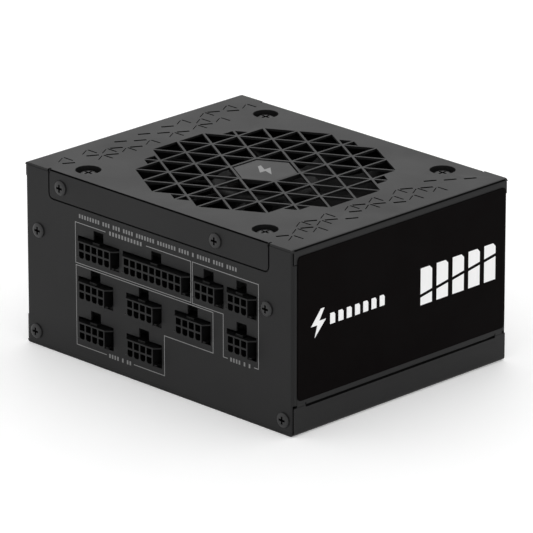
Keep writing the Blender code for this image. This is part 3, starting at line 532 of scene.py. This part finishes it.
# The open seam that the cover leaves above each side flange of the tray; its carved faces take the
# darker coat, which is painted shade
SEAM_HIGH = 0.65
flange_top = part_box("top_cover")[0].z / MM
for side in (-1, 1):
    ends = sorted((side * 61.95, side * 62.7))
    carved(tray, painted(block((ends[0], -44.1, flange_top - SEAM_HIGH),
                               (ends[1], 44.7, flange_top + 0.1)), groove_painted_shade))
dressed(tray, 0)

# ------------------------------------------------------------------ the side labels
# Satin black printed film, 0.25 mm thick with rounded corners, glued over the case's seams at
# both ends. The print is a plain bolt sign and rows of plain bars in white.
label_film = finish("label_film", (0.0018, 0.0012, 0.0012), (0.0026, 0.0018, 0.0018), (0.5, 0.62),
                    5200.0, 0.0012, specular=0.02)
white_ink = finish("white_ink", (0.83, 0.83, 0.83), (0.9, 0.9, 0.9), (0.42, 0.55), 4200.0, 0.002,
                   specular=0.3)
BOLT = ((0.62, 1.0), (0.12, 0.44), (0.44, 0.44), (0.3, 0.0), (0.88, 0.58), (0.54, 0.58),
        (0.8, 1.0))
LABEL_BARS_LOW, LABEL_BARS_HIGH = 30.0, 42.75


def label_print(side, face):
    """The printed marks of one side, read with its own left end on the left."""
    marks = [[(-43.2 + 9.0 * a, 31.6 + 9.4 * b) for a, b in BOLT]]
    for k in range(7):
        left = -33.4 + 3.8 * k
        marks.append([(left, 34.6), (left + 2.3, 34.6), (left + 2.3, 37.6), (left + 1.7, 38.3),
                      (left, 38.3)])
    for k in range(5):
        left = 8.5 + 7.55 * k
        middle = LABEL_BARS_LOW + 3.6 + 1.1 * k
        marks.append([(left, LABEL_BARS_LOW), (left + 5.4, LABEL_BARS_LOW), (left + 5.4, middle),
                      (left, middle - 0.9)])
        marks.append([(left, middle + 0.2), (left + 5.4, middle + 1.1),
                      (left + 5.4, LABEL_BARS_HIGH - 1.2), (left + 4.2, LABEL_BARS_HIGH),
                      (left, LABEL_BARS_HIGH)])
    ends = sorted((face, face + side * INK))
    return joined([plate([(side * y, z) for y, z in ring], *ends, "YZ") for ring in marks])


for name, side in (("right", 1), ("left", -1)):
    node = "side_label_" + name
    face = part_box(node)[(side + 1) // 2].x / MM
    film = dressed(folded_copy(node), 0.06, 1)
    fitted(film, "label_film_" + name, label_film, stands_for=[node])
    fitted(label_print(side, face), "label_print_" + name, white_ink)

# ------------------------------------------------------------------ the badge
# A hexagonal pressed plate glued into the grille's middle, with a plain bolt sign on it.
badge = dressed(folded_copy("grille_badge"), 0.14)
BADGE_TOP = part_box("grille_badge")[1].z / MM
badge_coat = finish("badge_coat", (0.0075, 0.0075, 0.0077), (0.0125, 0.0125, 0.0127),
                    (0.42, 0.5), 3400.0, 0.006, specular=0.24)
fitted(badge, "badge_plate", badge_coat, stands_for=["grille_badge"])
sign = plate([(4.5 - 9.0 * b, 8.0 * (a - 0.5)) for a, b in BOLT], BADGE_TOP, BADGE_TOP + INK)
fitted(sign, "badge_sign", finish("badge_ink", (0.17, 0.17, 0.17), (0.22, 0.22, 0.22),
                                  (0.35, 0.5), 4200.0, 0.002))

# ------------------------------------------------------------------ the modular sockets
# Glass-filled black nylon headers with two rows of blind cells, a latch lug on top and gusset
# fins at the sides. Each is soldered to the board behind and pokes through the panel.
black_nylon = finish("black_nylon", (0.0024, 0.0024, 0.0025), (0.0042, 0.0042, 0.0043),
                     (0.36, 0.48), 4600.0, 0.004, specular=0.22)
# The cells' walls and floors get this darker, duller nylon: painted shade in the deep cells
cell_painted_shade = finish("cell_painted_shade", (0.0008, 0.0008, 0.0008), (0.0014, 0.0014, 0.0014), (0.7, 0.8),
                    4600.0, 0.004, specular=0.06)
tinned = finish("tinned_brass", (0.42, 0.37, 0.26), (0.5, 0.46, 0.36), (0.3, 0.42), 2400.0, 0.002,
                metallic=1.0)
PITCH, CELL_HALF, PROUD = 3.0, 1.17, 2.1
HOUSING_HALF_HEIGHT, HOUSING_BACK, CELL_FLOOR = 3.2, 5.15, 3.5


def header(circuits):
    """A header housing and its contacts, drawn with the panel's face at y 0."""
    columns = circuits // 2
    half = (PITCH * columns + 0.4) / 2
    housing = painted(block((-half, -PROUD, -HOUSING_HALF_HEIGHT),
                            (half, HOUSING_BACK, HOUSING_HALF_HEIGHT)), black_nylon)
    lug = plate([(-1.1, 3.0), (-1.1, 3.9), (-0.5, 3.9), (0.9, 3.4), (0.9, 3.0)], -1.6, 1.6, "YZ")
    combined(housing, painted(lug, black_nylon), "UNION")
    for side in (-1, 1):
        edge = side * half
        gusset = plate([(edge - side * 0.3, -PROUD + 0.05), (edge + side * 0.12, -PROUD + 0.05),
                        (edge + side * 2.0, 0.0), (edge + side * 2.0, 0.5),
                        (edge - side * 0.3, 0.5)], 2.72, HOUSING_HALF_HEIGHT - 0.02)
        ledge = block((min(edge - side * 0.3, edge + side * 1.25), -1.55, -3.0),
                      (max(edge - side * 0.3, edge + side * 1.25), 0.35, -2.62))
        combined(housing, painted(gusset, black_nylon), "UNION")
        combined(housing, painted(ledge, black_nylon), "UNION")
    cells, contacts = [], []
    for column in range(columns):
        x = (column - (columns - 1) / 2) * PITCH
        for z, cut_off in ((PITCH / 2, 0.12), (-PITCH / 2, 0.52)):
            h, c = CELL_HALF, cut_off
            cells.append(plate([(x - h + c, z - h), (x + h - c, z - h), (x + h, z - h + c),
                                (x + h, z + h - 0.12), (x + h - 0.12, z + h),
                                (x - h + 0.12, z + h), (x - h, z + h - 0.12),
                                (x - h, z - h + c)], -PROUD - 0.6, CELL_FLOOR, "XZ"))
            pin = block((x - 0.35, 0.6, z - 0.35), (x + 0.35, CELL_FLOOR + 0.4, z + 0.35))
            chosen(pin, "VERT", lambda p: p.y < 1.0)
            bpy.ops.transform.resize(value=(0.35, 1, 0.35),
                                     center_override=(x * MM, 0.6 * MM, z * MM))
            closed()
            contacts.append(pin)
    # The cells are cut with the darker nylon on their faces, as painted shade
    carved(housing, *(painted(cell, cell_painted_shade) for cell in cells))
    return dressed(housing, 0.09), dressed(joined(contacts), 0)


patterns = {}
for node in sorted(n for n in nodes if n.startswith("socket_")):
    circuits = int(node.split("_")[1])
    if circuits not in patterns:
        patterns[circuits] = header(circuits)
    low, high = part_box(node)
    place = ((low.x + high.x) / 2 / MM, PANEL_FACE, low.z / MM + HOUSING_HALF_HEIGHT)
    housing, contacts = (turned_copy(item, 0, place) for item in patterns[circuits])
    fitted(housing, node.replace("socket", "header"), None, stands_for=[node])
    fitted(contacts, node.replace("socket", "contacts"), tinned)
for pair in patterns.values():
    for item in pair:
        bpy.data.objects.remove(item)

# ------------------------------------------------------------------ the screws
# Cold-headed steel machine screws with cross recesses, zinc plated and blackened: small ones
# hold the panel, flaps and board, and four coarser ones reach down into the fan.
black_zinc = finish("black_zinc", (0.011, 0.011, 0.0113), (0.02, 0.02, 0.0205), (0.34, 0.48),
                    2200.0, 0.004, metallic=0.3, specular=0.5)


def rod(radius, low, high, centre=(0.0, 0.0), axis="Z", sides=32, tip=None):
    """A round bar along an axis; tip gives its far end another radius."""
    bpy.ops.mesh.primitive_cone_add(vertices=sides, radius1=radius * MM, depth=(high - low) * MM,
                                    radius2=(radius if tip is None else tip) * MM)
    made = bpy.context.object
    middle = (low + high) / 2
    if axis == "Z":
        made.location = Vector((*centre, middle)) * MM
    elif axis == "Y":
        made.rotation_euler = (-math.pi / 2, 0, 0)
        made.location = Vector((centre[0], middle, centre[1])) * MM
    else:
        made.rotation_euler = (0, math.pi / 2, 0)
        made.location = Vector((middle, *centre)) * MM
    return settled(made)


def turned(profile, steps=40):
    """A lathe-turned solid from its half profile of (radius, height), both ends on the axis."""
    bpy.ops.mesh.primitive_circle_add(vertices=len(profile), radius=MM)
    made = bpy.context.object
    for corner, (radius, height) in zip(made.data.vertices, profile):
        corner.co = (radius * MM, 0, height * MM)
    chosen(made, "EDGE", lambda p, q: max(abs(p.x), abs(q.x)) < 0.0001)
    bpy.ops.mesh.delete(type="EDGE")
    bpy.ops.mesh.select_all(action="SELECT")
    bpy.ops.mesh.spin(steps=steps, angle=2 * math.pi, center=(0, 0, 0), axis=(0, 0, 1))
    bpy.ops.mesh.select_all(action="SELECT")
    bpy.ops.mesh.remove_doubles(threshold=0.002 * MM)
    bpy.ops.mesh.normals_make_consistent(inside=False)
    closed()
    return made


def screw(head, height, shank, length, arm, coat):
    """A cross-recessed pan head on a threaded shank, standing on z 0 with its head up."""
    profile = [(0, height)] + [(head * r, height * h) for r, h in (
        (0.55, 0.985), (0.72, 0.93), (0.87, 0.8), (0.96, 0.6), (1.0, 0.36), (1.0, 0.06),
        (0.97, 0.0))] + [(shank, 0.0)]
    threads = int((length - 0.9) / 0.5)
    for k in range(threads):
        z = -0.15 - 0.5 * k
        profile += [(shank, z), (shank * 0.84, z - 0.25)]
    profile += [(shank * 0.84, 0.6 - length), (shank * 0.55, -length), (0, -length)]
    made = painted(turned(profile), coat)
    wide = head * 0.17
    slots = []
    # The cross recess is cut with the darker coat on its faces: painted shade in the recess
    for size in ((arm, wide), (wide, arm * 1.01)):
        low = height - (1.25 if size[0] == arm else 1.3)
        slot = block((-size[0], -size[1], low), (size[0], size[1], height + 1))
        chosen(slot, "VERT", lambda p: p.z < height * 0.5)
        bpy.ops.transform.resize(value=(0.62, 0.62, 1), center_override=(0, 0, 0))
        closed()
        slots.append(painted(slot, groove_painted_shade))
    for slot in slots:
        combined(made, slot, "DIFFERENCE")
    return dressed(made, 0)


# Each head is as high as the solid it stands for, less that solid's shank
CASE_SHANK, FAN_SHANK = 3.4, 9.0
low, high = (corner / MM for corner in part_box("panel_screw_1"))
CASE_HEAD = high.y - low.y - CASE_SHANK
low, high = (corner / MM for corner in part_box("fan_screw_1"))
FAN_HEAD = high.z - low.z - FAN_SHANK
fan_black = finish("fan_screw_black", (0.011, 0.011, 0.0113), (0.018, 0.018, 0.0183),
                   (0.4, 0.52), 2200.0, 0.004, specular=0.35)
case_screw = screw(2.55, CASE_HEAD, 1.4, CASE_SHANK, 1.62, black_zinc)
fan_screw = screw(3.0, FAN_HEAD, 2.0, FAN_SHANK, 2.0, fan_black)
FACING = {"up": (0, "X"), "front": (90, "X"), "rear": (-90, "X")}
for node in sorted(n for n in nodes if "_screw_" in n):
    low, high = (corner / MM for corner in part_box(node))
    middle = (low + high) / 2
    if node.startswith(("fan", "board")):
        way = "up"
        height = FAN_HEAD if node.startswith("fan") else CASE_HEAD
        place = (middle.x, middle.y, high.z - height)
    elif "rear" in node:
        way, place = "rear", (middle.x, high.y - CASE_HEAD, middle.z)
    else:
        way, place = "front", (middle.x, low.y + CASE_HEAD, middle.z)
    pattern = fan_screw if node.startswith("fan") else case_screw
    copy = turned_copy(pattern)
    turn, axis = FACING[way]
    copy.data.transform(Matrix.Translation(Vector(place) * MM)
                        @ Matrix.Rotation(math.radians(turn), 4, axis))
    fitted(copy, node + "_body", None, stands_for=[node])
for pattern in (case_screw, fan_screw):
    bpy.data.objects.remove(pattern)

# ------------------------------------------------------------------ the fan
# A 92 mm frame, 15 mm deep, and an impeller with nine swept blades, both moulded in black
# plastic. The impeller turns on a steel shaft in a sleeve bearing, driven by a wound stator.
fan_plastic = finish("fan_plastic", (0.0011, 0.0011, 0.0011), (0.002, 0.002, 0.002), (0.5, 0.62),
                     3600.0, 0.004, specular=0.1)
fitted(dressed(folded_copy("fan_frame"), 0.25), "fan_housing", fan_plastic,
       stands_for=["fan_frame"])
HUB, HUB_WALL, TIP, BLADES = 18.0, 1.4, 43.2, 9
hub_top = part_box("fan_frame")[1].z / MM - 0.9
hub_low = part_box("fan_frame")[0].z / MM + 2.9
impeller = turned([(0, hub_top - 0.25), (13.4, hub_top - 0.25), (13.8, hub_top),
                   (HUB - 1.5, hub_top), (HUB - 0.6, hub_top - 0.3), (HUB - 0.12, hub_top - 0.9),
                   (HUB, hub_top - 1.7), (HUB, hub_low), (HUB - HUB_WALL, hub_low),
                   (HUB - HUB_WALL, hub_top - 1.7), (0, hub_top - 1.7)], 72)
blade_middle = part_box("fan_frame")[0].z / MM + 7.8
bpy.ops.mesh.primitive_grid_add(x_subdivisions=10, y_subdivisions=10, size=1)
blade = bpy.context.object
for point in blade.data.vertices:
    along, share = point.co.x, point.co.y + 0.5
    radius = HUB - 0.8 + (TIP - HUB + 0.8) * share
    flat = along * (14.5 + 6.0 * share)
    pitch = math.radians(44.0 - 15.0 * share)
    rise = (1.5 - 0.5 * share) * (0.05 + 0.55 * (1 - 4 * along * along))
    around = ((flat * math.cos(pitch) - rise * math.sin(pitch)) / radius
              + math.radians(16.0) * share)
    point.co = Vector((radius * math.cos(around), radius * math.sin(around),
                       blade_middle + flat * math.sin(pitch) + rise * math.cos(pitch))) * MM
thickened(blade, 1.05, 0.0)
dressed(blade, 0.3, 2, 50)
blades = [turned_copy(blade, 360 / BLADES * k) for k in range(BLADES)]
bpy.data.objects.remove(blade)
combined(impeller, joined(blades), "UNION")
dressed(impeller, 0)
fitted(impeller, "fan_impeller", fan_plastic, "fan_rotor", ["fan_rotor"])
bright_metal = finish("bright_metal", (0.5, 0.49, 0.47), (0.6, 0.59, 0.57), (0.28, 0.42), 1500.0,
                      0.002, metallic=1.0)
for node in ("fan_shaft", "fan_bearing", "board_spacer_left", "board_spacer_right"):
    painted(nodes[node], bright_metal)
hub_film = turned([(0, hub_top - 0.22), (13.2, hub_top - 0.22), (13.2, hub_top - 0.14),
                   (0, hub_top - 0.14)], 64)
fitted(hub_film, "fan_hub_film", label_film, "fan_rotor")

# The stator's four wound poles, and the lead with its plug and header
copper = finish("enamelled_copper", (0.33, 0.095, 0.03), (0.42, 0.13, 0.045), (0.25, 0.38),
                1800.0, 0.003, metallic=1.0, coat=0.3)
fitted(dressed(folded_copy("fan_stator"), 0.5, 3), "fan_windings", copper,
       stands_for=["fan_stator"])
for node in ("fan_plug", "fan_header"):
    fitted(dressed(folded_copy(node), 0.35), node + "_shell", black_nylon,
           stands_for=[node])
painted(nodes["fan_lead"], finish("lead_sleeve", (0.005, 0.005, 0.005), (0.009, 0.009, 0.009),
                                  (0.4, 0.55), 3000.0, 0.004))

# ------------------------------------------------------------------ the mains inlet
# A three-blade appliance inlet in black thermoplastic, clipped into the mains wall, with
# nickel-plated brass blades that have rounded ends.
fitted(dressed(folded_copy("inlet_shell"), 0.35, 3), "inlet_body", black_nylon,
       stands_for=["inlet_shell"])
nickel = finish("nickel_plate", (0.58, 0.56, 0.52), (0.66, 0.64, 0.6), (0.2, 0.34), 1800.0, 0.001,
                metallic=1.0)
for name in ("line", "neutral", "earth"):
    node = "inlet_pin_" + name
    low, high = (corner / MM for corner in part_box(node))
    pin = block(low, high)
    chosen(pin, "EDGE", lambda a, b: min(a.y, b.y) > high.y - 0.01)
    bpy.ops.mesh.bevel(offset=0.7 * MM, segments=4, affect="EDGES")
    closed()
    fitted(dressed(pin, 0.15), "inlet_blade_" + name, nickel, stands_for=[node])

# ------------------------------------------------------------------ the mains switch
# A snap-in rocker switch in black nylon; the rocker turns in the frame's side holes and has a
# raised white bar on its upper half and a ring on its lower half.
fitted(dressed(folded_copy("switch_frame"), 0.4, 3), "switch_bezel", black_nylon,
       stands_for=["switch_frame"])
fitted(dressed(folded_copy("switch_rocker"), 0.3, 3), "switch_paddle", black_nylon,
       "switch_rocker", ["switch_rocker"])
SWITCH = next(j for j in frame["joints"] if j["name"] == "power_switch")
pivot = Vector(SWITCH["pos_m"]) / MM
TILT, FACE_AT, MARK_AT = 12.0, 2.2, 4.3
for name, way in (("on", 1), ("off", -1)):
    if way > 0:
        mark = block((-0.45, -1.5, 0), (0.45, 1.5, INK * 2))
    else:
        mark = rod(1.5, 0.0, INK * 2)
        combined(mark, rod(0.95, -1.0, 1.0), "DIFFERENCE")
    lean = math.radians(-90 + way * TILT)
    rest = Matrix.Rotation(math.radians(-TILT), 4, "X")
    face = Vector((0, FACE_AT + MARK_AT * math.tan(math.radians(TILT)), way * MARK_AT)) * MM
    mark.data.transform(Matrix.Translation(pivot * MM) @ rest @ Matrix.Translation(face)
                        @ Matrix.Rotation(lean, 4, "X"))
    fitted(dressed(mark, 0), "switch_mark_" + name, white_ink, "switch_rocker")

# ------------------------------------------------------------------ the boards
# Glass-epoxy laminate 1.6 mm thick under black solder mask: one upright behind the sockets, one
# flat on its screws, and below that a thin polyester film that keeps its joints off the tray.
solder_mask = finish("solder_mask", (0.0016, 0.0019, 0.0017), (0.0034, 0.004, 0.0036), (0.3, 0.44),
                     900.0, 0.006, specular=0.3)
for node in ("main_board", "modular_board"):
    fitted(dressed(folded_copy(node), 0.08, 1), node + "_laminate", solder_mask,
           stands_for=[node])
fitted(dressed(folded_copy("insulating_sheet"), 0.04, 1), "insulating_sheet_film",
       finish("polyester_film", (0.5, 0.48, 0.42), (0.58, 0.56, 0.5), (0.25, 0.4), 700.0, 0.004),
       stands_for=["insulating_sheet"])

# ------------------------------------------------------------------ the capacitors
# Aluminium cans in shrunk plastic sleeves, rolled in near the base and scored across the top
# so that they vent, with a pale stripe for the negative side; the square one is cast in resin.
sleeve = finish("can_sleeve", (0.006, 0.0065, 0.009), (0.01, 0.0105, 0.014), (0.28, 0.4), 2400.0,
                0.003, specular=0.4)
stripe_ink = finish("stripe_ink", (0.4, 0.4, 0.38), (0.48, 0.48, 0.46), (0.4, 0.5), 4200.0, 0.002)
can_metal = finish("can_metal", (0.55, 0.55, 0.55), (0.63, 0.63, 0.63), (0.3, 0.44), 1500.0,
                   0.002, metallic=1.0)


def sleeved_can(name, x, y, base, radius, height, stands_for=()):
    """A can in its sleeve, its scored metal top and its printed stripe."""
    lip = radius * 0.86
    shell = turned([(0, 0.3), (radius * 0.95, 0), (radius, 0.6), (radius, height * 0.07),
                    (radius * 0.95, height * 0.1), (radius, height * 0.13),
                    (radius, height - 0.9), (radius * 0.96, height - 0.25), (lip + 0.3, height),
                    (lip, height - 0.3), (0, height - 0.3)], 48)
    lid = turned([(0, height - 0.4), (lip, height - 0.4), (lip, height - 0.2),
                  (lip * 0.9, height - 0.05), (0, height - 0.05)], 40)
    for turn in (45, -45):
        score = block((-lip * 0.75, -0.12, height - 0.15), (lip * 0.75, 0.12, height + 1))
        carved(lid, turned_copy(score, turn))
        bpy.data.objects.remove(score)
    arc = [math.radians(a) for a in range(-14, 15, 4)]
    ring = [(r * math.cos(a), r * math.sin(a)) for r, way in ((radius, 1), (radius + INK, -1))
            for a in arc[::way]]
    stripe = plate(ring, height * 0.16, height - 1.2)
    for piece, part, coat, slot, node in (
            (shell, "sleeve", sleeve, "capacitor_sleeve", stands_for),
            (lid, "lid", can_metal, "bright_metal", ()),
            (stripe, "stripe", stripe_ink, "printed_film", ())):
        piece.location = Vector((x, y, base)) * MM
        settled(piece)
        fitted(dressed(piece, 0), name + "_" + part, coat, stands_for=node)


low, high = (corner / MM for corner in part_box("bulk_capacitor"))
sleeved_can("bulk_can", (low.x + high.x) / 2, (low.y + high.y) / 2, low.z, (high.x - low.x) / 2,
            high.z - low.z, ["bulk_capacitor"])
BOARD_FACE = low.z
OUTPUT_ROW, OUTPUT_RADIUS, OUTPUT_HIGH = -38.2, 4.0, 11.5
for count, x in enumerate((-42.0, -28.0, -14.0, 0.0, 14.0, 28.0, 42.0)):
    sleeved_can("output_can_%d" % (count + 1), x, OUTPUT_ROW, BOARD_FACE, OUTPUT_RADIUS,
                OUTPUT_HIGH)
fitted(dressed(folded_copy("x_capacitor"), 1.1, 3), "resin_block",
       finish("cast_resin", (0.5, 0.32, 0.03), (0.58, 0.38, 0.05), (0.35, 0.5), 1600.0, 0.006),
       stands_for=["x_capacitor"])

# ------------------------------------------------------------------ the wound parts
# A transformer and an inductor on ferrite cores wrapped in yellow tape, and two ring chokes of
# enamelled copper wire wound by hand through their cores.
ferrite = finish("ferrite", (0.012, 0.012, 0.0125), (0.02, 0.02, 0.0205), (0.5, 0.62), 1800.0, 0.02,
                 specular=0.35)
tape = finish("polyester_tape", (0.6, 0.42, 0.03), (0.68, 0.48, 0.05), (0.25, 0.36), 1200.0, 0.003)
for node, share in (("main_transformer", 0.5), ("resonant_inductor", 0.45)):
    low, high = (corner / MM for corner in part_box(node))
    fitted(dressed(folded_copy(node), 0.6, 2), node + "_core", ferrite,
           stands_for=[node])
    middle, half = (low.y + high.y) / 2, (high.y - low.y) / 2 * share
    wrap = block((low.x - 0.15, middle - half, low.z + 0.5),
                 (high.x + 0.15, middle + half, high.z + 0.15))
    combined(wrap, block((low.x + 0.4, middle - half - 1, low.z - 1),
                         (high.x - 0.4, middle + half + 1, high.z - 0.4)), "DIFFERENCE")
    fitted(dressed(wrap, 0.1), node + "_tape", tape)


def wound_ring(node, wire, turns, sweep):
    """A ring core and its loops of wire, kept inside the solid it stands for."""
    low, high = (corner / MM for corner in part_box(node))
    middle, tall = (low + high) / 2, (high.z - low.z) / 2
    outer = (high.x - low.x) / 2
    reach = outer * 0.375
    ring = outer - reach
    core = rod(ring + reach - wire, wire - tall, tall - wire, sides=48)
    combined(core, rod(ring - reach + wire, -tall, tall, sides=48), "DIFFERENCE")
    dressed(core, 0.5, 3)
    bpy.ops.mesh.primitive_torus_add(major_radius=(reach - wire / 2) * MM, major_segments=20,
                                     minor_radius=wire / 2 * MM, minor_segments=8)
    loop = bpy.context.object
    loop.scale = (1, (tall - wire / 2) / (reach - wire / 2), 1)
    loop.rotation_euler = (math.pi / 2, 0, 0)
    loop.location = (ring * MM, 0, 0)
    settled(loop)
    winding = joined([turned_copy(loop, sweep / turns * k) for k in range(turns)])
    bpy.data.objects.remove(loop)
    for piece in (core, winding):
        piece.location = middle * MM
        settled(piece)
    fitted(core, node + "_ring", ferrite)
    fitted(dressed(winding, 0), node + "_winding", copper, stands_for=[node])


wound_ring("pfc_choke", 0.95, 30, 330)
wound_ring("common_mode_choke", 0.8, 20, 320)

# ------------------------------------------------------------------ the heat sinks
# Bent aluminium plates that stand on the main board, and the bridge rectifier, moulded in black
# epoxy, clamped flat against one of them.
for node in ("primary_heatsink", "secondary_heatsink"):
    fitted(dressed(folded_copy(node), 0.2), node + "_plate", can_metal,
           stands_for=[node])
fitted(dressed(folded_copy("bridge_rectifier"), 0.4, 2), "rectifier_body", black_nylon,
       stands_for=["bridge_rectifier"])
